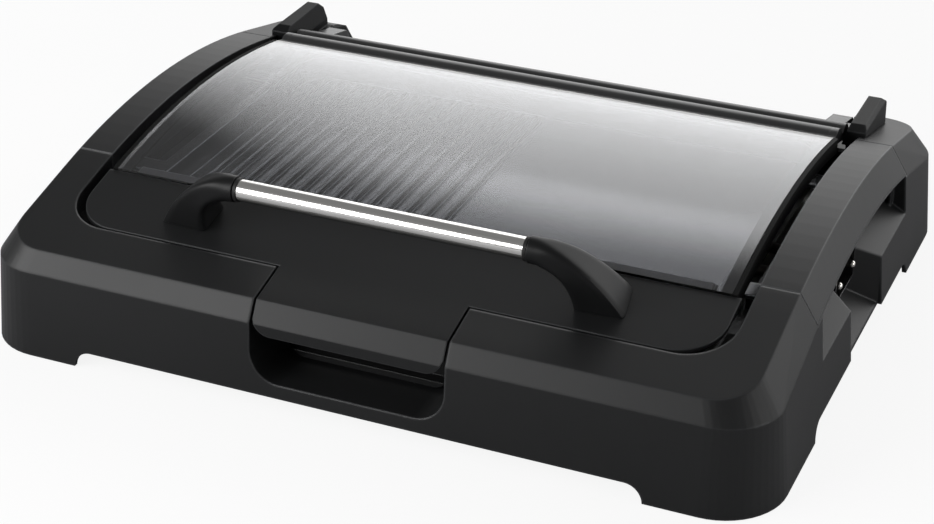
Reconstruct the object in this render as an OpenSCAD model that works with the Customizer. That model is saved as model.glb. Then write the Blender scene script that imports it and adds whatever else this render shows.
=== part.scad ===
// Electric indoor grill with a hinged glass lid. Millimetres, +Z up, front towards -Y.
// The origin is the middle of the footprint, on the surface that the grill stands on.

/* [Housing] */
// Width of the housing at the table
body_w = 540; // [520:5:580]
// Depth of the housing at the table
body_d = 440; // [430:5:470]
// Radius of the four upright corners
corner_r = 42; // [34:1:48]
// Draft of the outer walls, in degrees
draft = 5; // [3:0.5:6]
// Wall of the moulded shell
wall = 3; // [2.4:0.2:3.4]
// Height at which the walls end and the chamfer band begins
band_z = 60; // [57:1:62]
// Height of the chamfer band
band_h = 13.5; // [11:0.5:15]
// How far the chamfer band leans in beyond the drafted wall
band_in = 8; // [6:0.5:9]
// Slope of the deck at front and rear, in degrees
deck_slope = 13.5; // [12.5:0.5:14.5]
// Distance from the front edge to the start of the arch of the deck
arch_in = 95; // [90:1:100]
// Height of the chamfer along the two sides
side_chamfer_h = 20; // [17:1:21]
// Width of the chamfer along the two sides
side_chamfer_w = 12; // [10:1:13]
// Height of the arches between the feet
foot_h = 12; // [10:0.5:13]

/* [Deck opening] */
// Width of the deck beside the opening
side_deck = 44; // [43:1:46]
// Width of the deck in front of the opening
front_deck = 43; // [42:1:45]
// Corner radius of the opening
open_r = 32; // [26:1:34]
// Half width of the cut-out in the front wall
cut_x = 66; // [60:1:70]
// Lower edge of the cut-out in the front wall
cut_z = 21.5; // [20.5:0.5:22]
// Radius of the lower corners of the cut-out
cut_r = 20; // [14:1:20]

/* [Side rails and windows] */
// Distance from the front edge to the front seam of the side rails
rail_in_front = 112; // [110:1:114]
// Distance from the rear edge to the rear seam of the side rails
rail_in_rear = 102; // [100:1:103]
// Height of the window sill in the side walls
sill_z = 48; // [46:1:50]
// How far the sloping faces of the window reach inwards
scoop_x = 24; // [20:1:25]
// Front edge of the low part of the window, from the middle
door_front = 32; // [28:1:34]
// Rear edge of the low part of the window, from the middle
door_rear = 47; // [44:1:50]

/* [Lid] */
// Gap between the lid panel and the front edge of the opening
lid_gap = 1.8; // [1.5:0.1:2.4]
// Gap at each side of the lid
side_gap = 7; // [6:0.5:9]
// Thickness of the glass
glass_t = 4; // [3:0.5:4]
// How far the glass stands proud of the deck line
glass_up = 1.5; // [1:0.5:2]
// Distance from the front edge of the opening to the glass
glass_in = 55; // [54:1:57]
// Distance from the rear edge of the housing to the glass
glass_in_rear = 114; // [112:1:116]
// Distance of the hinge axis from the rear edge of the housing
hinge_in = 42; // [40:1:44]
// Height of the hinge axis
hinge_z = 73; // [72:0.5:74]
// Diameter of the hinge pins
hinge_pin_d = 6; // [5:0.5:7]
// Height of the tops of the hinge posts
post_top_z = 99.5; // [98:0.5:101]

/* [Handle] */
// Outer diameter of the handle tube
tube_d = 14; // [12:0.5:15]
// Visible length of the handle tube
tube_len = 198; // [180:2:210]
// Distance of the handle tube from the front edge of the housing
tube_in = 57; // [55:1:59]
// Height of the axis of the handle tube
tube_z = 121.5; // [119:0.5:124]

/* [Cooking plate and heater] */
// Distance from the opening to the floor of the plate, at each side
plate_in = 30; // [29:1:34]
// Distance from the front edge of the housing to the floor of the plate
plate_in_front = 90; // [89:1:94]
// Height of the cooking surface
plate_z = 62; // [61:0.5:64]
// Thickness of the plate floor
plate_t = 5; // [4:0.5:5]
// Height of the plate rim above the cooking surface
rim_h = 17; // [15:0.5:18]
// Number of ribs on the left half
rib_count = 14; // [10:1:14]
// Distance between two ribs
rib_pitch = 13.4; // [12:0.1:13.6]
// Height of the ribs
rib_h = 4.5; // [3:0.5:5]
// Diameter of the heating element
element_d = 8; // [7:0.5:8.5]
// Distance between the two terminals
terminal_gap = 32; // [28:1:34]

/* [Drip tray] */
// Length of the drip tray
tray_len = 250; // [220:5:260]
// Height of the drip tray
tray_h = 17; // [14:0.5:17]
// Depth of the pull lip of the drip tray
tray_lip = 8; // [6:0.5:10]
// Wall of the drip tray
tray_wall = 1.8; // [1.5:0.1:2.2]

/* [Hidden] */
$fn = 48;

// clearances
seat = 0.3;
slide_gap = 0.6;
pin_gap = 0.05;
eps = 0.01;

// the drafted wall, the deck line and the arch
lean = tan(draft);
half_w = body_w / 2;
half_d = body_d / 2;
arch_y = half_d - arch_in;
open_x = half_w - side_deck;
open_y = half_d - front_deck;
band_in_low = band_z * lean;
deck_edge_y = half_d - band_in_low - band_in;
deck_edge_z = band_z + band_h;
side_edge_x = half_w - band_in_low - side_chamfer_w - 1.8;
rise = tan(deck_slope);
arch_r = arch_y / sin(deck_slope);
arch_z = deck_edge_z + (deck_edge_y - arch_y) * rise;
arch_mid_z = arch_z - arch_r * cos(deck_slope);
arch_steps = 20;

// parts of the housing
ring_x = open_x + wall;
shelf_z = band_z - 10;
bay_half = open_x - 22;
bay_slope = 0.12;
hinge_bay_y = half_d - 65;
hinge_bay_rear = half_d - 30;
cover_z = 12.5;
cover_t = 2.5;
cover_x = half_w - 32;
cover_y = half_d - 9;
boss_r = 5;
screw_r = 1.7;
sill_rise = 14;
apron_rise = 18;
rail_front = half_d - rail_in_front;
rail_rear = half_d - rail_in_rear;
scoop_t = 3;
window_front = rail_front - 10;
window_rear = rail_rear - 4;
rail_t = 3;
rail_tongue = 12;
rail_boss_h = 4;
rail_seam = 0.7;
rail_screw_in = 6;
rail_screw_x = open_x + 14;
rail_screw_drop = rail_t + rail_boss_h + seat + 3 + 2.2 + 1;
bumper_x = 150;
ledge_z = 73;

// positions of what is fastened
foot_lift = 0.8;
boss_x = half_w - 65;
boss_y = half_d - 30;
foot_x = half_w - 56;
foot_y = half_d - 27;
plate_x = open_x - plate_in;
plate_y = half_d - plate_in_front;
pan_x = open_x - 14;
pan_front = open_y - 19;
pan_rear = hinge_bay_y - 7;
pan_t = 1.2;
pan_z = 42;
pan_h = 26;
flange_w = 10;
pan_post_x = pan_x - 62;
pan_post_y = pan_rear - 38;
port_front = door_front - 12;
port_rear = door_rear - 18;
terminal_y = (port_rear - port_front) / 2;
guard_half = (port_front + port_rear) / 2 - 0.5;
element_z = plate_z - plate_t - element_d / 2 - seat;
tab_y_front = 47 - plate_y;
tab_y_rear = plate_y - 51;
tab_w = 16;
tab_z = 76;
tab_out = open_x - 5;

// half width of the open part of the rear, at height z
function bay_x(z) = bay_half + (z - shelf_z) * bay_slope;

// inside of the drip tray channel
tab_low = band_z - 7;
tray_z = cut_z + 1.2;
tray_x = cut_x - 4;
tray_front_y = -open_y + 1;
tray_front_top = tab_low - 1.2;
runner_x = tray_x + slide_gap;

// lid
panel_x = open_x - side_gap;
glass_x = panel_x - 6;
glass_front = open_y - glass_in;
glass_rear = half_d - glass_in_rear;
hinge_y = half_d - hinge_in;
tube_y = half_d - tube_in;
knuckle_out = open_x - 18;
knuckle_in = knuckle_out - 14;
knuckle_r = 9;
bar_drop = 5;
post_in = knuckle_out + 2;
post_out = open_x - seat;
fin_front = hinge_y - 50;
fin_rear = hinge_y + 10;
fin_in = post_in + 4;
fin_out = open_x + 4;
fin_low = hinge_z + 5;
fin_slant = 16;
post_screw_y = [hinge_bay_y + 9, hinge_bay_rear - 6];
lip_x = glass_x - 12;
lip_drop = glass_t - glass_up + 1.6;
neck_d = tube_d + 3;
knee_x = tube_len / 2 + 24;
knee_y = tube_y - 3;
knee_z = tube_z - 5;
foot_in = tube_len / 2 + 27;
foot_out = foot_in + 31;
foot_front = tube_y - 3;
foot_len = 30;
handle_foot_x = (foot_in + foot_out) / 2;
handle_foot_y = foot_front - foot_len / 2;

function deck_z(y) = abs(y) >= arch_y
    ? deck_edge_z + (deck_edge_y - abs(y)) * rise
    : arch_mid_z + sqrt(arch_r * arch_r - y * y);

// points of the deck line from one y to another, lowered by drop
function deck_line(y0, y1, drop) =
    let(inner = [for (i = [0 : arch_steps]) -arch_y + 2 * arch_y * i / arch_steps])
    let(ys = concat([y0], [for (y = inner) if (y > y0 + 1 && y < y1 - 1) y], [y1]))
    [for (y = ys) [y, deck_z(y) - drop]];

// what lies below the deck line, as a slab along X
module below_deck(y0, y1, drop, x0, x1, z0)
    translate([x0, 0, 0])
        rotate([90, 0, 90])
            linear_extrude(x1 - x0)
                polygon(concat(deck_line(y0, y1, drop), [[y1, z0], [y0, z0]]));

module rounded_plan(x, y, r, h)
    linear_extrude(h)
        union() {
            square([2 * x, 2 * (y - r)], center = true);
            square([2 * (x - r), 2 * y], center = true);
            for (sx = [-1, 1], sy = [-1, 1])
                translate([sx * (x - r), sy * (y - r)])
                    circle(r);
        }

// the whole outer form, or the form inset by g: drafted walls, chamfers and arched deck
module form(g, z0 = 0) {
    low = band_z - (g > 0 ? 0.5 : 0);
    hull() {
        for (sx = [-1, 1], sy = [-1, 1])
            translate([sx * (half_w - corner_r), sy * (half_d - corner_r), z0])
                cylinder(r1 = corner_r - g - z0 * lean, r2 = corner_r - g - low * lean, h = low - z0);
        // shoulder lines of the sides, in the planes of the drafted walls
        for (sx = [-1, 1])
            translate([sx * (half_w - g), 0, 0])
                rotate([0, -sx * draft, 0])
                    below_deck(-half_d + corner_r, half_d - corner_r, side_chamfer_h + (g > 0 ? 0.5 : 0),
                        sx > 0 ? -0.1 : 0, sx > 0 ? 0 : 0.1, z0 + 1);
        intersection() {
            below_deck(-deck_edge_y + g / 2, deck_edge_y - g / 2, g, -side_edge_x + g / 2,
                side_edge_x - g / 2, z0 + 1);
            rounded_plan(side_edge_x - g / 2, deck_edge_y - g / 2, 28, 200);
        }
    }
}

// plan of the opening in the deck, grown by g, open to the rear where the hinges stand
module opening_plan(g) {
    translate([-open_x - g, -open_y - g + open_r + g])
        square([2 * (open_x + g), 2 * open_y - open_r]);
    translate([-open_x + open_r, -open_y - g])
        square([2 * (open_x - open_r), open_r + g + 1]);
    for (sx = [-1, 1])
        translate([sx * (open_x - open_r), -open_y + open_r])
            circle(open_r + g);
}

// arches between the feet, cut through front and rear or through both sides
module foot_arch(half, length)
    rotate([90, 0, 0])
        translate([0, 0, -length / 2])
            linear_extrude(length) {
                translate([-half + foot_h, -2])
                    square([2 * (half - foot_h), foot_h + 2]);
                for (s = [-1, 1])
                    translate([s * (half - foot_h), 0])
                        circle(foot_h);
            }

// front cut-out in plan of the wall, with rounded lower corners
module front_cut(x, z, r, y0, y1)
    translate([0, y1, 0])
        rotate([90, 0, 0])
            linear_extrude(y1 - y0) {
                translate([-x, z + r])
                    square([2 * x, 150]);
                translate([-x + r, z])
                    square([2 * (x - r), r + 1]);
                for (s = [-1, 1])
                    translate([s * (x - r), z + r])
                        circle(r);
            }

// prism along Y with a profile in X and Z
module prism_y(y0, y1, points)
    translate([0, y1, 0])
        rotate([90, 0, 0])
            linear_extrude(y1 - y0)
                polygon(points);

// moulded funnel behind one side window, on the right: sloping sills at front and rear,
// and in the middle a low part with splayed sides that leads to the port
module window_liner() {
    wall_x = half_w - sill_z * lean;
    inner_x = wall_x - scoop_x;
    back_x = inner_x - scoop_t;
    inner_z = sill_z + sill_rise;
    low_z = foot_h + 0.5;
    difference() {
        translate([back_x, -window_front - scoop_t, low_z])
            cube([40, window_front + window_rear + 2 * scoop_t, inner_z + 12 - low_z]);
        // above the sills
        prism_y(-window_front, window_rear, [[wall_x + 20, sill_z - 20 * sill_rise / scoop_x],
            [inner_x, inner_z], [back_x - 1, inner_z], [back_x - 1, 150], [wall_x + 20, 150]]);
        // low part between the splayed sides
        translate([0, 0, foot_h + apron_rise])
            linear_extrude(100)
                polygon([[wall_x + 15, -door_front - 15 * 12 / scoop_x], [inner_x, -port_front],
                    [back_x - 1, -port_front], [back_x - 1, port_rear], [inner_x, port_rear],
                    [wall_x + 15, door_rear + 15 * 18 / scoop_x]]);
        intersection() {
            translate([0, 0, -1])
                linear_extrude(100)
                    polygon([[wall_x + 15, -door_front - 15 * 12 / scoop_x], [inner_x, -port_front],
                        [inner_x, port_rear], [wall_x + 15, door_rear + 15 * 18 / scoop_x]]);
            prism_y(-100, 100, [[wall_x + 23, foot_h - 0.5 - 20 * apron_rise / scoop_x],
                [inner_x, foot_h + apron_rise], [inner_x, 100], [wall_x + 23, 100]]);
        }
        // hollows under the sills, open downwards
        for (ends = [[-window_front, -door_front - scoop_t - 1], [door_rear + scoop_t + 1, window_rear]])
            prism_y(ends[0], ends[1], [[inner_x + 1, 0], [wall_x + 12, 0],
                [wall_x - 1, sill_z - scoop_t - 1], [inner_x + 1, inner_z - scoop_t - 1.5]]);
    }
    // upright ribs at the rear end of the window
    for (i = [0 : 3])
        translate([back_x + 5 * i, window_rear - 5, inner_z - 3.5 * i - 7])
            cube([2, 5.5, 34]);
}

// what the moulding carries inside its shell, before it is trimmed to the form
module housing_inside() {
    well_z = cover_z + cover_t + seat;
    // ring wall around the cooking space
    difference() {
        translate([0, 0, well_z])
            linear_extrude(100)
                opening_plan(wall);
        translate([0, 0, -1])
            linear_extrude(200)
                opening_plan(0);
        translate([-300, hinge_bay_y, 0])
            cube([600, 200, 200]);
    }
    // front wall and floor of the bay behind the cooking space, which carries the hinge posts
    translate([-ring_x, hinge_bay_y - eps, well_z])
        cube([2 * ring_x, wall, shelf_z - well_z]);
    translate([-ring_x, hinge_bay_y - eps, shelf_z - wall])
        cube([2 * ring_x, half_d, wall]);
    for (sx = [-1, 1])
        translate([sx * (open_x + wall / 2) - wall / 2, hinge_bay_y - eps, well_z])
            cube([wall, half_d, 100]);
    // cheeks and sill of the front cut-out
    difference() {
        front_cut(cut_x + wall, cut_z - wall, cut_r + wall, -half_d, -open_y - 1);
        front_cut(cut_x, cut_z, cut_r, -half_d - 1, -open_y + 1);
    }
    // ribs under the flange of the reflector pan
    for (sx = [-1, 1], y = [tab_y_front, tab_y_rear])
        translate([sx * (open_x - 3) - 4.5, y - 8, pan_z + pan_h - seat - 12])
            cube([9, 16, 12]);
    // ledge along the front of the opening, which the bumpers of the lid land on
    difference() {
        translate([0, 0, ledge_z - 2.4])
            linear_extrude(2.4)
                opening_plan(1);
        linear_extrude(100)
            opening_plan(-12);
        translate([-half_w, -glass_front - 8, 0])
            cube([body_w, body_d, 100]);
    }
    // walls of the strip behind the hinge posts
    for (sx = [-1, 1]) {
        translate([sx * (bay_half + ring_x) / 2, hinge_bay_rear + wall / 2, shelf_z + 24])
            cube([ring_x - bay_half, wall, 54], center = true);
        prism_y(hinge_bay_rear, half_d, [
            [sx * (bay_x(shelf_z) - 1), shelf_z - wall],
            [sx * (bay_x(deck_edge_z + 10) - 1), deck_edge_z + 10],
            [sx * (bay_x(deck_edge_z + 10) + wall), deck_edge_z + 10],
            [sx * (bay_x(shelf_z) + wall), shelf_z - wall]]);
    }
    // floors of the feet, which hold the rubber pads
    for (sx = [-1, 1], sy = [-1, 1])
        translate([sx * (foot_x + 8), sy * foot_y, 8])
            cube([76, 60, 3], center = true);
    // bosses for the screws of the bottom cover, each with a rib to the wall
    for (sx = [-1, 1], sy = [-1, 1])
        translate([sx * boss_x, sy * boss_y, well_z]) {
            cylinder(r = boss_r, h = 36);
            translate([-1.25, sy > 0 ? 0 : -30, 0])
                cube([2.5, 30, 36]);
        }
}

module base_housing() color([0.13, 0.135, 0.14])
    difference() {
        union() {
            difference() {
                form(0, foot_lift);
                form(wall, -1);
                // the side windows in the outer wall
                for (sx = [-1, 1]) {
                    translate([sx * half_w, (door_rear - door_front) / 2, 0])
                        cube([30, door_front + door_rear, 2 * sill_z], center = true);
                    translate([sx * half_w, (window_rear - window_front) / 2, sill_z + 30])
                        cube([30, window_front + window_rear, 60], center = true);
                }
            }
            intersection() {
                form(1, foot_lift);
                housing_inside();
            }
            intersection() {
                form(0, foot_lift);
                union() {
                    window_liner();
                    mirror([1, 0, 0])
                        window_liner();
                }
            }
            for (sx = [-1, 1], y = [-rail_front - 4, rail_rear + 4])
                rail_tongue_at(sx, y);
        }
        // opening of the deck, and the bay of the hinges behind it
        translate([0, 0, ledge_z])
            linear_extrude(100)
                opening_plan(0);
        translate([-open_x, hinge_bay_y, shelf_z])
            cube([2 * open_x, hinge_bay_rear - hinge_bay_y, 100]);
        // open part of the rear wall between the hinge posts
        prism_y(hinge_bay_rear - 1, half_d + 1, [
            [-bay_x(shelf_z), shelf_z], [bay_x(shelf_z), shelf_z],
            [bay_x(shelf_z + 60), shelf_z + 60], [-bay_x(shelf_z + 60), shelf_z + 60]]);
        // notches that the fins of the hinge posts stand in
        for (sx = [-1, 1])
            translate([sx * (open_x + fin_out) / 2, (fin_front + fin_rear + 1.5) / 2, fin_low + 50])
                cube([fin_out - open_x + 2 * seat, fin_rear + 1.5 - fin_front + 2 * seat, 100 + 2 * seat],
                    center = true);
        // front cut-out
        front_cut(cut_x, cut_z, cut_r, -half_d - 1, -open_y + 13);
        // arches between the feet
        foot_arch(half_w - 76, body_d + 10);
        rotate([0, 0, 90])
            foot_arch(half_d - 103, body_w + 10);
        for (sx = [-1, 1])
            rail_place(sx);
        // way of the terminals through the ring wall
        translate([open_x - 1, terminal_y - guard_half, element_z - 13])
            cube([wall + 2, 2 * guard_half, 27]);
        // bores of the post screws
        for (sx = [-1, 1], y = post_screw_y)
            translate([sx * (post_in + post_out) / 2, y, shelf_z - 20])
                cylinder(r = screw_r + 0.2, h = 30);
        // bores of the cover screws
        for (sx = [-1, 1], sy = [-1, 1])
            translate([sx * boss_x, sy * boss_y, cover_z])
                cylinder(r = screw_r, h = 30);
    }

// tongue under one end of a side rail, rooted in the deck beyond the seam
module rail_tongue_at(sx, y) {
    root = sign(y) * 6;
    drop = rail_t + rail_boss_h + seat;
    translate([sx * rail_screw_x, 0, 0])
        difference() {
            union() {
                intersection() {
                    translate([0, y, 80])
                        cube([16, 2 * rail_tongue, 60], center = true);
                    below_deck(-half_d + 60, half_d - 60, drop, -20, 20, 60);
                }
                intersection() {
                    translate([0, y + root, 80])
                        cube([16, 2 * rail_tongue - 12, 60], center = true);
                    below_deck(-half_d + 60, half_d - 60, 1, -20, 20, 60);
                }
            }
            below_deck(-half_d + 50, half_d - 50, drop + 3, -30, 30, 0);
            translate([0, rail_screw_y(y), 0])
                cylinder(r = screw_r + 0.2, h = 150);
        }
}

// place of the rail screw beside the seam at y
function rail_screw_y(y) = y > 0 ? rail_rear - rail_screw_in : rail_screw_in - rail_front;

// what a side rail takes from the shell
module rail_place(sx)
    translate([sx * (open_x + 50), 0, 0])
        intersection() {
            translate([0, (rail_rear - rail_front) / 2, 100])
                cube([100, rail_front + rail_rear, 200], center = true);
            difference() {
                translate([0, 0, 150])
                    cube([110, 400, 300], center = true);
                below_deck(-half_d + 50, half_d - 50, side_chamfer_h, -60, 60, -10);
            }
        }

module side_rail() color([0.16, 0.165, 0.17])
    difference() {
        intersection() {
            form(0);
            translate([open_x, -rail_front + rail_seam, 50])
                cube([60, rail_front + rail_rear - 2 * rail_seam, 80]);
        }
        difference() {
            form(rail_t);
            translate([open_x - 1, -200, 0])
                cube([rail_t + 1, 400, 200]);
            // bosses for the screws
            for (s = [-1, 1])
                intersection() {
                    translate([rail_screw_x, rail_screw_y(s), 50])
                        cylinder(r = 4, h = 80);
                    below_deck(-half_d + 60, half_d - 60, 0, 0, half_w, 50);
                }
        }
        for (s = [-1, 1]) {
            intersection() {
                translate([rail_screw_x, rail_screw_y(s), 50])
                    cylinder(r = 6, h = 80);
                below_deck(-half_d + 60, half_d - 60, rail_t + rail_boss_h, 0, half_w, 0);
            }
            translate([rail_screw_x, rail_screw_y(s), 0])
                cylinder(r = screw_r, h = deck_z(rail_screw_y(s)) - 1.5);
        }
        below_deck(-half_d + 50, half_d - 50, side_chamfer_h - seat, open_x - 1, half_w + 10, -10);
    }

module side_rail_right() side_rail();

module side_rail_left()
    mirror([1, 0, 0])
        side_rail();

module bottom_cover() color([0.12, 0.12, 0.125])
    difference() {
        union() {
            translate([0, 0, cover_z])
                rounded_plan(cover_x, cover_y, 20, cover_t);
            // posts that carry the reflector pan
            for (sx = [-1, 1], sy = [-1, 1])
                translate([sx * pan_post_x, sy * pan_post_y, cover_z])
                    cylinder(r = boss_r, h = pan_z - cover_z - seat);
            // pedestal of the terminal block
            translate([pan_x + 2, terminal_y - 16, cover_z])
                cube([open_x - pan_x - 2 - seat, 32, element_z - 12 - seat - cover_z]);
        }
        // screw holes at the corners and in the pan posts
        for (sx = [-1, 1], sy = [-1, 1]) {
            translate([sx * boss_x, sy * boss_y, 0])
                cylinder(r = screw_r + 0.3, h = 40);
            translate([sx * pan_post_x, sy * pan_post_y, cover_z + 8])
                cylinder(r = screw_r, h = 40);
        }
        // vents under the cooking space
        for (sx = [-1, 1], i = [0 : 5])
            translate([sx * (pan_post_x - 40) - 25, -50 + 20 * i, 0])
                cube([50, 5, 40]);
    }

module foot_pads() color([0.28, 0.2, 0.16])
    for (sx = [-1, 1], sy = [-1, 1])
        translate([sx * foot_x, sy * foot_y, 0])
            rounded_plan(27, 9, 8, 6.2);

module screw_solid(head_r, head_h, length)
    union() {
        cylinder(r = head_r, h = head_h);
        cylinder(r = screw_r - pin_gap, h = length);
    }

module base_screws() color("silver")
    for (sx = [-1, 1], sy = [-1, 1])
        translate([sx * boss_x, sy * boss_y, cover_z - 2.6])
            screw_solid(3.8, 2.6 - pin_gap, 20);

module rail_screws() color("silver")
    for (sx = [-1, 1], s = [-1, 1])
        translate([sx * rail_screw_x, rail_screw_y(s), deck_z(rail_screw_y(s)) - rail_screw_drop])
            screw_solid(3.4, 2.2, 9);

module reflector_pan() color([0.75, 0.75, 0.74])
    difference() {
        union() {
            difference() {
                translate([-pan_x, -pan_front, pan_z])
                    cube([2 * pan_x, pan_front + pan_rear, pan_h + pan_t]);
                translate([-pan_x + pan_t, -pan_front + pan_t, pan_z + pan_t])
                    cube([2 * (pan_x - pan_t), pan_front + pan_rear - 2 * pan_t, 40]);
            }
            // rolled flange
            difference() {
                intersection() {
                    translate([-pan_x - flange_w, -pan_front - 5, pan_z + pan_h])
                        cube([2 * (pan_x + flange_w), pan_front + pan_rear + 10, pan_t]);
                    linear_extrude(100)
                        opening_plan(-1.5);
                }
                translate([-pan_x + pan_t, -pan_front + pan_t, pan_z])
                    cube([2 * (pan_x - pan_t), pan_front + pan_rear - 2 * pan_t, 40]);
            }
        }
        // drain over the drip tray
        translate([0, -125, 0])
            cylinder(r = 18, h = 100);
        // way of the terminals
        translate([pan_x - 5, terminal_y - terminal_gap / 2 - 9, pan_z + 3])
            cube([20, terminal_gap + 18, 14]);
        // holes of the pan screws
        for (sx = [-1, 1], sy = [-1, 1])
            translate([sx * pan_post_x, sy * pan_post_y, 0])
                cylinder(r = screw_r + 0.2, h = 100);
    }

module pan_screws() color("silver")
    for (sx = [-1, 1], sy = [-1, 1])
        translate([sx * pan_post_x, sy * pan_post_y, pan_z + pan_t + pin_gap])
            union() {
                cylinder(r = 3.5, h = 2);
                translate([0, 0, -12])
                    cylinder(r = screw_r - pin_gap, h = 13);
            }

// a straight run of the element along X or Y
module run_x(x0, x1, y)
    translate([x0, y, 0])
        rotate([0, 90, 0])
            cylinder(d = element_d, h = x1 - x0);

module run_y(x, y0, y1)
    translate([x, y0, 0])
        rotate([-90, 0, 0])
            cylinder(d = element_d, h = y1 - y0);

// a bend of the element around a centre
module bend(x, y, r, from, sweep)
    translate([x, y, 0])
        rotate([0, 0, from])
            rotate_extrude(angle = sweep)
                translate([r, 0])
                    circle(d = element_d);

module heating_element() color([0.35, 0.34, 0.33]) {
    leg = 35;
    left_x = 82 - pan_x;
    right_x = pan_x - 107;
    turn = 30;
    end_x = pan_x - 22;
    t_low = terminal_y - terminal_gap / 2;
    t_high = terminal_y + terminal_gap / 2;
    translate([0, 0, element_z])
        union() {
            run_x(left_x, end_x - turn, -3 * leg);
            run_x(left_x, right_x, -leg);
            run_x(left_x, right_x, leg);
            run_x(left_x, end_x - turn, 3 * leg);
            bend(left_x, -2 * leg, leg, 90, 180);
            bend(left_x, 2 * leg, leg, 90, 180);
            bend(right_x, 0, leg, -90, 180);
            bend(end_x - turn, -3 * leg + turn, turn, -90, 90);
            bend(end_x - turn, 3 * leg - turn, turn, 0, 90);
            run_y(end_x, -3 * leg + turn, t_low - 15);
            run_y(end_x, t_high + 15, 3 * leg - turn);
            bend(end_x + 15, t_low - 15, 15, 90, 90);
            bend(end_x + 15, t_high + 15, 15, 180, 90);
            run_x(end_x + 15, pan_x + 6, t_low);
            run_x(end_x + 15, pan_x + 6, t_high);
        }
}

module element_clips() color("silver")
    for (x = [-110, 60], y = [-70, 70])
        translate([x, y, pan_z + pan_t + seat])
            difference() {
                union() {
                    translate([-5, -45, 0])
                        cube([10, 90, 1.5]);
                    for (s = [-1, 1])
                        translate([-5, s * 35 - 7, 0])
                            cube([10, 14, element_z - pan_z - pan_t - seat]);
                }
                for (s = [-1, 1])
                    translate([-10, s * 35, element_z - pan_z - pan_t - seat])
                        rotate([0, 90, 0])
                            cylinder(d = element_d + 0.2, h = 20);
            }

module terminal_block() color([0.85, 0.82, 0.76])
    difference() {
        translate([pan_x + 7, terminal_y - guard_half + 1, element_z - 12])
            cube([13, 2 * guard_half - 2, 24]);
        for (s = [-1, 1])
            translate([pan_x, terminal_y + s * terminal_gap / 2, element_z])
                rotate([0, 90, 0])
                    cylinder(r = 2.5 + pin_gap, h = 60);
    }

module terminal_pins() color("silver")
    for (s = [-1, 1])
        translate([pan_x + 6 + pin_gap, terminal_y + s * terminal_gap / 2, element_z])
            rotate([0, 90, 0])
                union() {
                    cylinder(r = 2.5, h = 34);
                    translate([0, 0, 34])
                        sphere(r = 2.5);
                }

// bright shroud around the pins, open outwards
module terminal_guard() color([0.8, 0.8, 0.8])
    difference() {
        translate([pan_x + 20 + pin_gap, terminal_y - guard_half + 0.5, element_z - 12.5])
            cube([20, 2 * guard_half - 1, 25]);
        translate([pan_x + 21.5, terminal_y - guard_half + 1.7, element_z - 11.3])
            cube([30, 2 * guard_half - 3.4, 22.6]);
        translate([pan_x + 13, terminal_y - guard_half + 5, element_z - 8])
            cube([20, 2 * guard_half - 10, 16]);
    }

module plate_rests() color([0.5, 0.3, 0.2])
    for (sx = [-1, 1], y = [tab_y_front, tab_y_rear])
        translate([sx * (pan_x + flange_w / 2) - 4, y - 8, pan_z + pan_h + pan_t + eps])
            cube([8, 16, tab_z - seat - pan_z - pan_h - pan_t - eps]);

// one rib of the plate, rounded on top, along Y
module plate_rib(x)
    translate([x, 0, plate_z - 1])
        union() {
            translate([-1.8, -plate_y + 8, 0])
                cube([3.6, 2 * plate_y - 16, rib_h - 0.8]);
            translate([0, -plate_y + 8, rib_h - 0.8])
                rotate([-90, 0, 0])
                    cylinder(r = 1.8, h = 2 * plate_y - 16, $fn = 16);
        }

// die-cast plate: ribbed left half, smooth right half, raised rim and four rest tabs
module grill_plate() color([0.2, 0.2, 0.21])
    difference() {
        union() {
            translate([0, 0, plate_z - plate_t])
                rounded_plan(plate_x, plate_y, 18, plate_t);
            // rim wall and its flange
            difference() {
                translate([0, 0, plate_z - 1])
                    rounded_plan(plate_x + 4, plate_y + 4, 22, rim_h + 1);
                translate([0, 0, plate_z - 2])
                    rounded_plan(plate_x, plate_y, 18, rim_h + 5);
            }
            difference() {
                translate([0, 0, plate_z - plate_t])
                    rounded_plan(plate_x + 4, plate_y + 4, 22, plate_t);
                translate([0, 0, plate_z - plate_t - 1])
                    rounded_plan(plate_x - 1, plate_y - 1, 17, plate_t + 5);
            }
            difference() {
                translate([0, 0, plate_z + rim_h - 2.5])
                    rounded_plan(plate_x + 9, plate_y + 9, 27, 2.5);
                translate([0, 0, plate_z])
                    rounded_plan(plate_x + 1, plate_y + 1, 19, rim_h + 5);
            }
            for (i = [0 : rib_count - 1])
                plate_rib(-plate_x + 14 + i * rib_pitch);
            for (sx = [-1, 1], y = [tab_y_front, tab_y_rear])
                translate([sx * (plate_x + 8 + tab_out) / 2, y, tab_z + 1.5])
                    cube([tab_out - plate_x - 8 + 2, tab_w, 3], center = true);
        }
        // drain over the drip tray
        translate([0, -plate_y + 5, 0])
            cylinder(r = 5, h = 200);
    }

// drawer with a tall front that closes the back of the recess, and a pull lip
module drip_tray() color([0.12, 0.12, 0.125])
    difference() {
        union() {
            intersection() {
                front_cut(tray_x, tray_z, cut_r - 2, tray_front_y, tray_front_y + tray_len);
                translate([-half_w, -half_d, 0])
                    cube([body_w, body_d, tray_z + tray_h]);
            }
            intersection() {
                front_cut(cut_x - slide_gap, cut_z + slide_gap, cut_r - slide_gap, tray_front_y, tray_front_y + 3);
                translate([-half_w, -half_d, 0])
                    cube([body_w, body_d, tray_front_top]);
            }
            // pull lip
            difference() {
                front_cut(tray_x - 8, tray_z + 0.6, 10, tray_front_y - tray_lip, tray_front_y + 1);
                translate([-half_w, -half_d, tray_z + 5])
                    cube([body_w, body_d, 200]);
            }
        }
        intersection() {
            front_cut(tray_x - tray_wall, tray_z + tray_wall, cut_r - 2 - tray_wall,
                tray_front_y + 3, tray_front_y + tray_len - tray_wall);
            translate([-half_w, -half_d, 0])
                cube([body_w, body_d, 100]);
        }
    }

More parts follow.
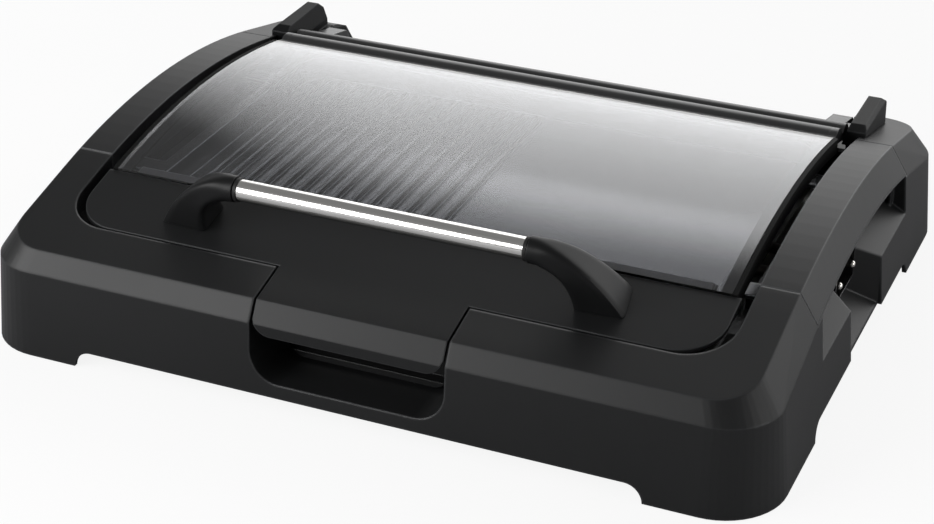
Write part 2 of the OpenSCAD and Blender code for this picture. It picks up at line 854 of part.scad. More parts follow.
// two folded guides that the drip tray runs in
module tray_runners() color([0.55, 0.56, 0.57])
    for (sx = [-1, 1])
        translate([0, tray_front_y + 12, cover_z + cover_t]) {
            foot_in_x = tray_x - 22;
            translate([sx > 0 ? runner_x : -runner_x - 1.5, 0, 0])
                cube([1.5, tray_len - 20, 16]);
            translate([sx > 0 ? foot_in_x : -runner_x - eps, 0, tray_z - cover_z - cover_t - seat - 1.5])
                cube([runner_x - foot_in_x + eps, tray_len - 20, 1.5]);
            translate([sx > 0 ? runner_x : -runner_x - 12, 0, 0])
                cube([12, tray_len - 20, 1.5]);
        }

// fixed post beside the end of the rear bar, with the bore of the hinge pin
module hinge_post() color([0.14, 0.145, 0.15])
    difference() {
        union() {
            // base on the shelf
            translate([post_in, hinge_bay_y + wall + seat, shelf_z + seat])
                cube([post_out - post_in, hinge_bay_rear - hinge_bay_y - wall - 2 * seat,
                    fin_low - shelf_z - seat + 2]);
            // fin, chamfered in front and on top
            translate([fin_in, 0, 0])
                rotate([90, 0, 90])
                    linear_extrude(fin_out - fin_in)
                        polygon([[fin_front, post_top_z - 15], [fin_front, post_top_z - 4],
                            [fin_front + 7, post_top_z - 0.8], [fin_rear - 6, post_top_z],
                            [fin_rear, post_top_z - 5], [fin_rear + 1.5, fin_low],
                            [fin_front + 22, fin_low]]);
        }
        // slanted inner side and bevelled outer edge of the fin
        translate([fin_in, fin_front - 10, post_top_z - 14])
            rotate([0, fin_slant, 0])
                translate([-20, 0, 0])
                    cube([20, 120, 30]);
        translate([fin_out, fin_front - 10, post_top_z - 3])
            rotate([0, -45, 0])
                cube([20, 120, 20]);
        translate([post_in - 1, hinge_y, hinge_z])
            rotate([0, 90, 0])
                cylinder(d = hinge_pin_d + 2 * pin_gap, h = post_out - post_in + 2);
        for (y = post_screw_y)
            translate([(post_in + post_out) / 2, y, 0])
                cylinder(r = screw_r, h = shelf_z + 12);
    }

module hinge_post_right() hinge_post();

module hinge_post_left()
    mirror([1, 0, 0])
        hinge_post();

module hinge_post_screws() color("silver")
    for (sx = [-1, 1], y = post_screw_y)
        translate([sx * (post_in + post_out) / 2, y, shelf_z - wall - 2.2 - pin_gap])
            screw_solid(3.4, 2.2, 12);

// plan of the lid panel, with the tongue that fills the upper part of the front cut-out
module panel_plan() {
    front = open_y - lid_gap;
    r = open_r - lid_gap;
    intersection() {
        union() {
            translate([-panel_x, -front + r])
                square([2 * panel_x, front]);
            translate([-panel_x + r, -front])
                square([2 * (panel_x - r), r + 1]);
            for (sx = [-1, 1])
                translate([sx * (panel_x - r), -front + r])
                    circle(r);
        }
        translate([-panel_x - 1, -front - 1])
            square([2 * panel_x + 2, front + 1 - glass_front - seat]);
    }
    translate([-cut_x + lid_gap, -half_d - 5])
        square([2 * (cut_x - lid_gap), half_d - front + 10]);
}

// moulded front of the lid: shell, tongue and the lip under the front edge of the glass
module lid_panel() color([0.13, 0.135, 0.14])
    difference() {
        union() {
            intersection() {
                difference() {
                    form(0);
                    form(wall);
                }
                union() {
                    translate([0, 0, 62])
                        linear_extrude(100)
                            panel_plan();
                    front_cut(cut_x - lid_gap, tab_low, 12, -half_d, -deck_edge_y - 2);
                }
            }
            difference() {
                below_deck(-glass_front - 8, -glass_front - seat, 2, -lip_x, lip_x, 60);
                below_deck(-glass_front - 12, -glass_front + 2, lip_drop + 2.2, -lip_x - 1, lip_x + 1, 50);
            }
            difference() {
                below_deck(-glass_front - 1, -glass_front + 10, lip_drop, -lip_x, lip_x, 60);
                below_deck(-glass_front - 2, -glass_front + 12, lip_drop + 2.2, -lip_x - 1, lip_x + 1, 50);
            }
            // pads of the handle screws
            for (sx = [-1, 1])
                translate([sx * handle_foot_x, -handle_foot_y, deck_z(-handle_foot_y) - wall - 3])
                    cylinder(r = 5, h = 4);
        }
        for (sx = [-1, 1])
            translate([sx * handle_foot_x, -handle_foot_y, 60])
                cylinder(r = screw_r, h = 60);
    }

// arched sector between two offsets of the deck arch
module arch_sector(x0, x1, y0, y1, top, bottom)
    intersection() {
        translate([x0, 0, arch_mid_z])
            rotate([0, 90, 0])
                difference() {
                    cylinder(r = arch_r + top, h = x1 - x0, $fn = 360);
                    translate([0, 0, -1])
                        cylinder(r = arch_r + bottom, h = x1 - x0 + 2, $fn = 360);
                }
        translate([x0 - 1, y0, arch_z - 30])
            cube([x1 - x0 + 2, y1 - y0, 80]);
    }

module lid_glass() color([0.6, 0.62, 0.66, 0.5])
    arch_sector(-glass_x, glass_x, -glass_front, glass_rear, glass_up, glass_up - glass_t);

module side_trim() color([0.1, 0.1, 0.105])
    union() {
        arch_sector(glass_x + seat, glass_x + seat + 3, -glass_front, glass_rear, glass_up, -9);
        arch_sector(glass_x - 8, glass_x + seat + 3, -glass_front, glass_rear,
            glass_up - glass_t - seat, glass_up - glass_t - seat - 2);
    }

module side_trim_right() side_trim();

module side_trim_left()
    mirror([1, 0, 0])
        side_trim();

// rolled profile of the rear bar, flat underneath
module bar_profile()
    difference() {
        union() {
            // lip under the rear edge of the glass
            translate([-lip_x, 0, 0])
                rotate([90, 0, 90])
                    linear_extrude(2 * lip_x)
                        polygon([[glass_rear - 8, deck_z(glass_rear - 8) - 3.2],
                            [glass_rear + 10, deck_z(glass_rear + 10) - 3.2],
                            [glass_rear + 10, deck_z(glass_rear + 10) - bar_drop],
                            [glass_rear - 8, deck_z(glass_rear - 8) - bar_drop]]);
            translate([-knuckle_out, 0, 0])
                rotate([90, 0, 90])
                    linear_extrude(2 * knuckle_out)
                        union() {
                            translate([glass_rear + 13, deck_z(glass_rear + 13) - 6])
                                circle(r = 11);
                            translate([glass_rear + 34, deck_z(glass_rear + 34) - 3])
                                circle(r = 8);
                            polygon([[glass_rear + seat, deck_z(glass_rear) - 7],
                                [glass_rear + seat, deck_z(glass_rear) + glass_up],
                                [glass_rear + 40, deck_z(glass_rear + 40) - 1],
                                [glass_rear + 40, deck_z(glass_rear + 40) - 9]]);
                        }
        }
        below_deck(glass_rear - 20, glass_rear + 60, bar_drop + 1, -knuckle_out - 1, knuckle_out + 1, 0);
    }

// knuckles at the ends of the rear bar
module bar_knuckles()
    difference() {
        union() {
            for (sx = [-1, 1])
                translate([sx > 0 ? knuckle_in : -knuckle_out, 0, 0])
                    rotate([90, 0, 90])
                        linear_extrude(knuckle_out - knuckle_in) {
                            translate([hinge_y, hinge_z])
                                circle(r = knuckle_r);
                            polygon([[glass_rear + 36, deck_z(glass_rear + 36) + 1],
                                [hinge_y, hinge_z + knuckle_r], [hinge_y, hinge_z - knuckle_r],
                                [glass_rear + 36, deck_z(glass_rear + 36) - 7]]);
                        }
        }
        translate([-knuckle_out - 1, hinge_y, hinge_z])
            rotate([0, 90, 0])
                cylinder(d = hinge_pin_d + 2 * pin_gap, h = 2 * knuckle_out + 2);
    }

module rear_bar() color([0.12, 0.125, 0.13])
    union() {
        bar_profile();
        bar_knuckles();
    }

// pins through the posts into the knuckles
module hinge_pins() color("silver")
    for (sx = [-1, 1])
        translate([sx > 0 ? knuckle_in + 1 : -post_out + 1, hinge_y, hinge_z])
            rotate([0, 90, 0])
                cylinder(d = hinge_pin_d, h = post_out - knuckle_in - 2);

module glass_gasket() color([0.08, 0.08, 0.08])
    arch_sector(-lip_x + 2, lip_x - 2, -glass_front + 1, -glass_front + 9,
        glass_up - glass_t - 0.1, -lip_drop + 0.1);

module lid_bumpers() color([0.3, 0.3, 0.3])
    for (sx = [-1, 1])
        translate([sx * bumper_x, -open_y + 8, ledge_z + seat])
            difference() {
                cylinder(r = 5, h = 12);
                translate([-10, open_y - 8, -ledge_z - seat])
                    difference() {
                        translate([0, -open_y - 10, 0])
                            cube([20, 40, 200]);
                        below_deck(-open_y - 20, -open_y + 30, wall + seat + 0.4, -5, 30, 0);
                    }
            }

// horn-shaped end of the handle on the right, from the tube down to a square foot
module handle_post() color([0.1, 0.1, 0.105])
    difference() {
        union() {
            // spigot inside the tube
            translate([tube_len / 2 - 5, -tube_y, tube_z])
                rotate([0, 90, 0])
                    cylinder(d = tube_d - 2 - 4 * pin_gap, h = 16, center = true);
            // neck
            hull() {
                translate([tube_len / 2 + seat, -tube_y, tube_z])
                    rotate([0, 90, 0])
                        cylinder(d = neck_d, h = 4, $fn = 32);
                translate([knee_x, -knee_y, knee_z])
                    rotate([0, 120, 0])
                        cylinder(d = neck_d - 0.6, h = 2, center = true, $fn = 32);
            }
            // leg, which spreads from the knee to the foot
            hull() {
                translate([knee_x, -knee_y, knee_z])
                    sphere(d = neck_d + 2.5, $fn = 32);
                intersection() {
                    below_deck(-half_d + 10, 0, -3, 0, half_w, 0);
                    translate([0, 0, 60])
                        linear_extrude(60)
                            polygon([[foot_in, -foot_front], [foot_out, -foot_front],
                                [foot_out - 2, foot_len - foot_front], [foot_in + 3, foot_len - foot_front]]);
                }
            }
        }
        below_deck(-half_d + 5, 20, -seat, -20, half_w, 0);
        translate([handle_foot_x, -handle_foot_y, 60])
            cylinder(r = screw_r, h = 38);
    }

module handle_post_right() handle_post();

module handle_post_left()
    mirror([1, 0, 0])
        handle_post();

module handle_tube() color("silver")
    translate([-tube_len / 2, -tube_y, tube_z])
        rotate([0, 90, 0])
            difference() {
                cylinder(d = tube_d, h = tube_len);
                translate([0, 0, -1])
                    cylinder(d = tube_d - 2, h = tube_len + 2);
            }

module handle_rings() color([0.05, 0.05, 0.05])
    for (sx = [-1, 1])
        translate([sx * (tube_len / 2 - 1.5), -tube_y, tube_z])
            rotate([0, 90, 0])
                difference() {
                    cylinder(d = tube_d + 1.6, h = 2, center = true);
                    cylinder(d = tube_d + 2 * pin_gap, h = 4, center = true);
                }

module handle_screws() color("silver")
    for (sx = [-1, 1])
        translate([sx * handle_foot_x, -handle_foot_y, deck_z(-handle_foot_y) - wall - 3 - 2.2 - pin_gap])
            screw_solid(3.4, 2.2, 16);

base_housing();
side_rail_left();
side_rail_right();
bottom_cover();
foot_pads();
base_screws();
rail_screws();
reflector_pan();
pan_screws();
heating_element();
element_clips();
terminal_block();
terminal_pins();
terminal_guard();
plate_rests();
grill_plate();
drip_tray();
tray_runners();
hinge_post_left();
hinge_post_right();
hinge_post_screws();
lid_panel();
lid_glass();
side_trim_left();
side_trim_right();
rear_bar();
hinge_pins();
glass_gasket();
lid_bumpers();
handle_post_left();
handle_post_right();
handle_tube();
handle_rings();
handle_screws();
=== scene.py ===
import math

import bmesh
import bpy
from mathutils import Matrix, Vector


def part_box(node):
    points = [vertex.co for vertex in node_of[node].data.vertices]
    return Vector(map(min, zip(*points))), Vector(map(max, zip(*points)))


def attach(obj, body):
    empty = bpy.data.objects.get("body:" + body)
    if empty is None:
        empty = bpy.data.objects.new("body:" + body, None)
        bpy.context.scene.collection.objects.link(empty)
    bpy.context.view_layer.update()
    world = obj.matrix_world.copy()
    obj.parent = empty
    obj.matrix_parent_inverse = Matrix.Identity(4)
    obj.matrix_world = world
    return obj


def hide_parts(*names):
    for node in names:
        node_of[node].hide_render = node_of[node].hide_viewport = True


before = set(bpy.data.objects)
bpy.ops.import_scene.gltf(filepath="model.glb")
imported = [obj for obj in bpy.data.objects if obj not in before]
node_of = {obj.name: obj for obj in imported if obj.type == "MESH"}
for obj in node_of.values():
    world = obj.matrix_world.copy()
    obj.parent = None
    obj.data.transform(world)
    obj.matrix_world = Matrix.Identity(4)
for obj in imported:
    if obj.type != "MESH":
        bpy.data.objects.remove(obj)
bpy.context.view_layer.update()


# Camera
# A short telephoto view from the front right and above, with the long side of the grill
# across the picture and its front right foot nearest.
camera = bpy.data.objects.new("camera", bpy.data.cameras.new("camera"))
bpy.context.scene.collection.objects.link(camera)
camera_drop, camera_turn, focal_length = 28.73, 23.48, 84.12
camera.location = (0.5193, -1.2250, 0.7386)
camera.rotation_euler = (math.radians(90 - camera_drop), 0, math.radians(camera_turn))
camera.data.sensor_width = 36
camera.data.lens = focal_length
camera.data.clip_start = 0.05
camera.data.clip_end = 30
bpy.context.scene.camera = camera


# Housing
# One large moulding in near-black plastic with a fine spark-eroded grain, glossy along the
# edges that hands rub, which are also painted lighter as painted highlight; the well and the
# bay behind the rear bar are painted dull near-black as painted shade.
def new_group(name, inputs, outputs):
    group = bpy.data.node_groups.new(name, "ShaderNodeTree")
    for label, kind, value in inputs:
        socket = group.interface.new_socket(label, in_out="INPUT", socket_type=kind)
        socket.default_value = value
    for label, kind in outputs:
        group.interface.new_socket(label, in_out="OUTPUT", socket_type=kind)
    start = group.nodes.new("NodeGroupInput")
    end = group.nodes.new("NodeGroupOutput")
    return group, start, end


def mould_grain_group():
    group, start, end = new_group(
        "mould_grain",
        [("Grains", "NodeSocketFloat", 1500.0), ("Patches", "NodeSocketFloat", 9.0)],
        [("Height", "NodeSocketFloat"), ("Patch", "NodeSocketFloat")],
    )
    link = group.links.new
    place = group.nodes.new("ShaderNodeTexCoord")
    fine = group.nodes.new("ShaderNodeTexNoise")
    fine.inputs["Detail"].default_value = 3.0
    fine.inputs["Roughness"].default_value = 0.6
    pits = group.nodes.new("ShaderNodeTexVoronoi")
    pits.inputs["Randomness"].default_value = 1.0
    mix = group.nodes.new("ShaderNodeMath")
    mix.operation = "MULTIPLY_ADD"
    mix.inputs[1].default_value = 0.4
    patch = group.nodes.new("ShaderNodeTexNoise")
    patch.inputs["Detail"].default_value = 4.0
    link(place.outputs["Object"], fine.inputs["Vector"])
    link(place.outputs["Object"], pits.inputs["Vector"])
    link(place.outputs["Object"], patch.inputs["Vector"])
    link(start.outputs["Grains"], fine.inputs["Scale"])
    link(start.outputs["Grains"], pits.inputs["Scale"])
    link(start.outputs["Patches"], patch.inputs["Scale"])
    link(pits.outputs["Distance"], mix.inputs[0])
    link(fine.outputs["Fac"], mix.inputs[2])
    link(mix.outputs[0], end.inputs["Height"])
    link(patch.outputs["Fac"], end.inputs["Patch"])
    return group


def edge_wear_and_highlight_group():
    group, start, end = new_group(
        "edge_wear_and_highlight",
        [("Radius", "NodeSocketFloat", 0.0008)],
        [("Edge", "NodeSocketFloat"), ("Normal", "NodeSocketVector")],
    )
    link = group.links.new
    round_off = group.nodes.new("ShaderNodeBevel")
    round_off.samples = 6
    face = group.nodes.new("ShaderNodeNewGeometry")
    dot = group.nodes.new("ShaderNodeVectorMath")
    dot.operation = "DOT_PRODUCT"
    ramp = group.nodes.new("ShaderNodeMapRange")
    ramp.inputs["From Min"].default_value = 0.995
    ramp.inputs["From Max"].default_value = 0.9
    link(start.outputs["Radius"], round_off.inputs["Radius"])
    link(round_off.outputs["Normal"], dot.inputs[0])
    link(face.outputs["Normal"], dot.inputs[1])
    link(dot.outputs["Value"], ramp.inputs["Value"])
    link(ramp.outputs["Result"], end.inputs["Edge"])
    link(round_off.outputs["Normal"], end.inputs["Normal"])
    return group


def box_mask_group():
    group, start, end = new_group(
        "box_mask",
        [("Centre", "NodeSocketVector", (0, 0, 0)), ("Half", "NodeSocketVector", (1, 1, 1))],
        [("Inside", "NodeSocketFloat")],
    )
    link = group.links.new
    place = group.nodes.new("ShaderNodeTexCoord")
    offset = group.nodes.new("ShaderNodeVectorMath")
    offset.operation = "SUBTRACT"
    away = group.nodes.new("ShaderNodeVectorMath")
    away.operation = "ABSOLUTE"
    room = group.nodes.new("ShaderNodeVectorMath")
    room.operation = "SUBTRACT"
    parts = group.nodes.new("ShaderNodeSeparateXYZ")
    across = group.nodes.new("ShaderNodeMath")
    across.operation = "MINIMUM"
    least = group.nodes.new("ShaderNodeMath")
    least.operation = "MINIMUM"
    inside = group.nodes.new("ShaderNodeMath")
    inside.operation = "GREATER_THAN"
    inside.inputs[1].default_value = 0.0
    link(place.outputs["Object"], offset.inputs[0])
    link(start.outputs["Centre"], offset.inputs[1])
    link(offset.outputs["Vector"], away.inputs[0])
    link(start.outputs["Half"], room.inputs[0])
    link(away.outputs["Vector"], room.inputs[1])
    link(room.outputs["Vector"], parts.inputs[0])
    link(parts.outputs["X"], across.inputs[0])
    link(parts.outputs["Y"], across.inputs[1])
    link(across.outputs[0], least.inputs[0])
    link(parts.outputs["Z"], least.inputs[1])
    link(least.outputs[0], inside.inputs[0])
    link(inside.outputs[0], end.inputs["Inside"])
    return group


mould_grain = mould_grain_group()
edge_wear_and_highlight = edge_wear_and_highlight_group()
box_mask = box_mask_group()


def moulded(name, colour, rough, grain=1500.0, depth=0.00004, radius=0.0008, shine=0.3, edge_highlight_gain=4.0):
    """Moulded plastic or rubber: grain in the bump, patches in colour and gloss, rubbed edges
    glossier and painted lighter as painted highlight.
    """
    material = bpy.data.materials.new(name)
    material.use_nodes = True
    nodes, link = material.node_tree.nodes, material.node_tree.links.new
    shader = nodes["Principled BSDF"]
    shader.inputs["Specular IOR Level"].default_value = shine
    skin = nodes.new("ShaderNodeGroup")
    skin.node_tree = mould_grain
    skin.inputs["Grains"].default_value = grain
    edge = nodes.new("ShaderNodeGroup")
    edge.node_tree = edge_wear_and_highlight
    edge.inputs["Radius"].default_value = radius
    tone = nodes.new("ShaderNodeMix")
    tone.data_type = "RGBA"
    tone.inputs["A"].default_value = (*[c * 0.88 for c in colour], 1)
    tone.inputs["B"].default_value = (*[c * 1.12 for c in colour], 1)
    # Painted highlight: along the edges the colour is lighter by the gain.
    painted_edge_highlight = nodes.new("ShaderNodeMix")
    painted_edge_highlight.data_type = "RGBA"
    painted_edge_highlight.inputs["B"].default_value = (*[min(1, c * edge_highlight_gain) for c in colour], 1)
    gloss = nodes.new("ShaderNodeMapRange")
    gloss.inputs["To Min"].default_value = rough - 0.05
    gloss.inputs["To Max"].default_value = rough + 0.05
    rub = nodes.new("ShaderNodeMath")
    rub.operation = "MULTIPLY_ADD"
    rub.inputs[1].default_value = -0.1
    bump = nodes.new("ShaderNodeBump")
    bump.inputs["Strength"].default_value = 0.6
    bump.inputs["Distance"].default_value = depth
    link(skin.outputs["Patch"], tone.inputs["Factor"])
    link(tone.outputs["Result"], painted_edge_highlight.inputs["A"])
    link(edge.outputs["Edge"], painted_edge_highlight.inputs["Factor"])
    link(painted_edge_highlight.outputs["Result"], shader.inputs["Base Color"])
    link(skin.outputs["Patch"], gloss.inputs["Value"])
    link(edge.outputs["Edge"], rub.inputs[0])
    link(gloss.outputs["Result"], rub.inputs[2])
    link(rub.outputs[0], shader.inputs["Roughness"])
    link(skin.outputs["Height"], bump.inputs["Height"])
    link(edge.outputs["Normal"], bump.inputs["Normal"])
    link(bump.outputs["Normal"], shader.inputs["Normal"])
    return material


def dress(material, *names):
    for name in names:
        mesh = node_of[name].data
        mesh.materials.clear()
        mesh.materials.append(material)


def paint_shade(material, low, high, dull=0.8):
    """Paint shade: what lies between the corners low and high turns dull and near-black."""
    nodes, link = material.node_tree.nodes, material.node_tree.links.new
    shader = nodes["Principled BSDF"]
    box = nodes.new("ShaderNodeGroup")
    box.node_tree = box_mask
    box.inputs["Centre"].default_value = (Vector(low) + Vector(high)) / 2
    box.inputs["Half"].default_value = (Vector(high) - Vector(low)) / 2
    shade_tint = nodes.new("ShaderNodeMix")
    shade_tint.data_type = "RGBA"
    shade_tint.inputs["B"].default_value = (0.002, 0.002, 0.0022, 1)
    matt = nodes.new("ShaderNodeMix")
    matt.inputs["B"].default_value = dull
    for mix, socket in ((shade_tint, shader.inputs["Base Color"]), (matt, shader.inputs["Roughness"])):
        link(box.outputs["Inside"], mix.inputs["Factor"])
        link(socket.links[0].from_socket, mix.inputs["A"])
        link(mix.outputs["Result"], socket)
    return box.outputs["Inside"]


pan_low, pan_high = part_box("reflector_pan")
well_margin, cover_top, ledge_top = 0.006, 0.002, 0.0736
bay_x, bay_front, bay_rear, bay_floor, bay_top = 0.2138, 0.150, 0.2185, 0.0505, 0.12
housing_plastic = moulded("housing_plastic", (0.0098, 0.0101, 0.0105), 0.42, radius=0.0022)
# Painted shade: the well inside the opening and the bay behind the rear bar turn dull near-black.
paint_shade(housing_plastic,
          (pan_low.x - well_margin, pan_low.y - well_margin, cover_top),
          (pan_high.x + well_margin, pan_high.y + well_margin, ledge_top))
paint_shade(housing_plastic, (-bay_x, bay_front, bay_floor), (bay_x, bay_rear, bay_top))
dress(housing_plastic, "base_housing")


# Side rails
# Two arched covers in the same plastic, moulded apart from the housing and a shade smoother,
# with a black seam at each end where they tuck under the deck.
# Painted highlight: the rails' edges are painted seven times lighter.
rail_plastic = moulded("rail_plastic", (0.0125, 0.0128, 0.0133), 0.44, radius=0.0018,
                       shine=0.38, edge_highlight_gain=7.0)
dress(rail_plastic, "side_rail_left", "side_rail_right")


# Bottom cover, feet and cover screws
# A flat black cover closes the underside, held by four zinc-plated screws; brown-grey rubber
# pads are pressed into the feet and keep the housing just off the table.
dress(moulded("cover_plastic", (0.014, 0.014, 0.0145), 0.55), "bottom_cover")
pad_rubber = moulded("pad_rubber", (0.12, 0.085, 0.065), 0.8, grain=600.0, depth=0.0001,
                     radius=0.001, shine=0.2)
dress(pad_rubber, "foot_pads")


def brushed_streaks_group():
    group, start, end = new_group(
        "brushed_streaks",
        [("Stretch", "NodeSocketVector", (1, 1, 1)), ("Scale", "NodeSocketFloat", 400.0)],
        [("Streak", "NodeSocketFloat")],
    )
    link = group.links.new
    place = group.nodes.new("ShaderNodeTexCoord")
    stretch = group.nodes.new("ShaderNodeMapping")
    line = group.nodes.new("ShaderNodeTexNoise")
    line.inputs["Detail"].default_value = 5.0
    link(place.outputs["Object"], stretch.inputs["Vector"])
    link(start.outputs["Stretch"], stretch.inputs["Scale"])
    link(stretch.outputs["Vector"], line.inputs["Vector"])
    link(start.outputs["Scale"], line.inputs["Scale"])
    link(line.outputs["Fac"], end.inputs["Streak"])
    return group


brushed_streaks = brushed_streaks_group()


def metal(name, colour, rough, streaks=(1, 1, 1), scale=400.0, depth=0.00001, radius=0.0003,
          spread=0.08):
    """Bare or plated metal: fine streaks from rolling or brushing along one direction."""
    material = bpy.data.materials.new(name)
    material.use_nodes = True
    nodes, link = material.node_tree.nodes, material.node_tree.links.new
    shader = nodes["Principled BSDF"]
    shader.inputs["Metallic"].default_value = 1.0
    brushed = nodes.new("ShaderNodeGroup")
    brushed.node_tree = brushed_streaks
    brushed.inputs["Stretch"].default_value = streaks
    brushed.inputs["Scale"].default_value = scale
    gloss = nodes.new("ShaderNodeMapRange")
    gloss.inputs["To Min"].default_value = max(0.02, rough - spread)
    gloss.inputs["To Max"].default_value = rough + spread
    tone = nodes.new("ShaderNodeMix")
    tone.data_type = "RGBA"
    tone.inputs["A"].default_value = (*[c * 0.9 for c in colour], 1)
    tone.inputs["B"].default_value = (*[min(1, c * 1.08) for c in colour], 1)
    edge = nodes.new("ShaderNodeGroup")
    edge.node_tree = edge_wear_and_highlight
    edge.inputs["Radius"].default_value = radius
    bump = nodes.new("ShaderNodeBump")
    bump.inputs["Strength"].default_value = 0.4
    bump.inputs["Distance"].default_value = depth
    link(brushed.outputs["Streak"], gloss.inputs["Value"])
    link(gloss.outputs["Result"], shader.inputs["Roughness"])
    link(brushed.outputs["Streak"], tone.inputs["Factor"])
    link(tone.outputs["Result"], shader.inputs["Base Color"])
    link(brushed.outputs["Streak"], bump.inputs["Height"])
    link(edge.outputs["Normal"], bump.inputs["Normal"])
    link(bump.outputs["Normal"], shader.inputs["Normal"])
    return material


zinc = metal("zinc_plate", (0.58, 0.58, 0.55), 0.32, scale=900.0)
dress(zinc, "base_screws", "rail_screws", "pan_screws", "hinge_post_screws", "handle_screws")


# Reflector pan, heating element, clips and tray runners
# A pressed aluminium pan, its sides and rim painted dull black and not metallic as painted
# shade, throws the heat of the sheathed element up to the plate; pressed steel clips and
# runners hold the element and the tray.
pan_metal = metal("pan_aluminium", (0.6, 0.6, 0.59), 0.34, streaks=(1, 30, 1), scale=60.0)
rim_rise, over_rim, anywhere = 0.004, 0.001, 1.0
# Painted shade: above its lowest 4 mm the pan is painted dull black and loses its metal.
rim_shade = paint_shade(pan_metal, (-anywhere, -anywhere, pan_low.z + rim_rise),
                   (anywhere, anywhere, pan_high.z + over_rim), dull=0.5)
outside_rim_shade = pan_metal.node_tree.nodes.new("ShaderNodeMath")
outside_rim_shade.operation = "SUBTRACT"
outside_rim_shade.inputs[0].default_value = 1.0
pan_shader = pan_metal.node_tree.nodes["Principled BSDF"]
pan_metal.node_tree.links.new(rim_shade, outside_rim_shade.inputs[1])
pan_metal.node_tree.links.new(outside_rim_shade.outputs[0], pan_shader.inputs["Metallic"])
dress(pan_metal, "reflector_pan")
dress(metal("clip_steel", (0.5, 0.5, 0.49), 0.3, streaks=(20, 1, 1), scale=90.0),
      "element_clips", "tray_runners")
dress(metal("sheath_steel", (0.13, 0.115, 0.105), 0.5, scale=160.0, spread=0.15),
      "heating_element")


# Terminals
# Two nickel-plated pins stand in a white ceramic block, inside a dark blued steel shroud that
# the controller slides over. The hinge pins share the nickel.
dress(moulded("ceramic_block", (0.62, 0.58, 0.5), 0.6, grain=900.0, shine=0.5, edge_highlight_gain=1.1),
      "terminal_block")
dress(metal("pin_nickel", (0.72, 0.7, 0.66), 0.16), "terminal_pins", "hinge_pins")
dress(metal("shroud_steel", (0.16, 0.16, 0.165), 0.24, streaks=(1, 20, 1), scale=120.0),
      "terminal_guard")


# Cooking plate and its rests
# Cast aluminium under a grey-black non-stick coat with fine mineral specks; four blocks of
# heat-proof rubber carry its tabs.
def coated_plate():
    # Painted highlight: the edges of the ribs are painted nine times lighter.
    material = moulded("nonstick_coat", (0.04, 0.041, 0.043), 0.18, grain=700.0, depth=0.000003,
                       radius=0.0016, shine=0.55, edge_highlight_gain=9.0)
    nodes, link = material.node_tree.nodes, material.node_tree.links.new
    shader = nodes["Principled BSDF"]
    under = shader.inputs["Base Color"].links[0].from_socket
    place = nodes.new("ShaderNodeTexCoord")
    cells = nodes.new("ShaderNodeTexVoronoi")
    cells.inputs["Scale"].default_value = 420.0
    speck = nodes.new("ShaderNodeMapRange")
    speck.inputs["From Min"].default_value = 0.12
    speck.inputs["From Max"].default_value = 0.06
    tint = nodes.new("ShaderNodeMix")
    tint.data_type = "RGBA"
    tint.inputs["B"].default_value = (0.08, 0.08, 0.083, 1)
    link(place.outputs["Object"], cells.inputs["Vector"])
    link(cells.outputs["Distance"], speck.inputs["Value"])
    link(speck.outputs["Result"], tint.inputs["Factor"])
    link(under, tint.inputs["A"])
    link(tint.outputs["Result"], shader.inputs["Base Color"])
    return material


dress(coated_plate(), "grill_plate")
rest_silicone = moulded("rest_silicone", (0.006, 0.006, 0.006), 0.6, grain=500.0, radius=0.0006,
                        shine=0.15, edge_highlight_gain=1.5)
dress(rest_silicone, "plate_rests")


# Drip tray
# A drawer in black plastic, smoother than the housing, with a lip for the fingers.
dress(moulded("tray_plastic", (0.007, 0.0072, 0.0075), 0.36, grain=1200.0), "drip_tray")


# Hinge posts
# Two fins in the same black plastic as the housing, painted a third darker as painted shade,
# screwed to the rear shelf; the pins of the hinge sit in them.
dress(moulded("post_plastic_painted_shade", (0.0065, 0.0068, 0.0072), 0.48, radius=0.0018, shine=0.14),
      "hinge_post_left", "hinge_post_right")


# Lid panel, rear bar, bumpers and gasket
# Two plastic mouldings: the panel's tongue reaches into the front cut-out, and the smoother
# bar carries the knuckles of the hinge. The bumpers and the gasket are silicone.
dress(moulded("panel_plastic", (0.0082, 0.0085, 0.0089), 0.43, radius=0.0014, shine=0.26),
      "lid_panel")
# Painted light: the bar is painted about twice as light as the other black plastics.
bar_plastic_painted_light = moulded("bar_plastic_painted_light", (0.02, 0.0203, 0.0208), 0.3, grain=900.0, depth=0.00002,
                      shine=0.6)
dress(bar_plastic_painted_light, "rear_bar")
dress(moulded("black_silicone", (0.004, 0.004, 0.004), 0.6, grain=700.0, shine=0.12), "lid_bumpers")
dress(moulded("grey_silicone", (0.09, 0.09, 0.092), 0.5, grain=700.0, shine=0.4), "glass_gasket")


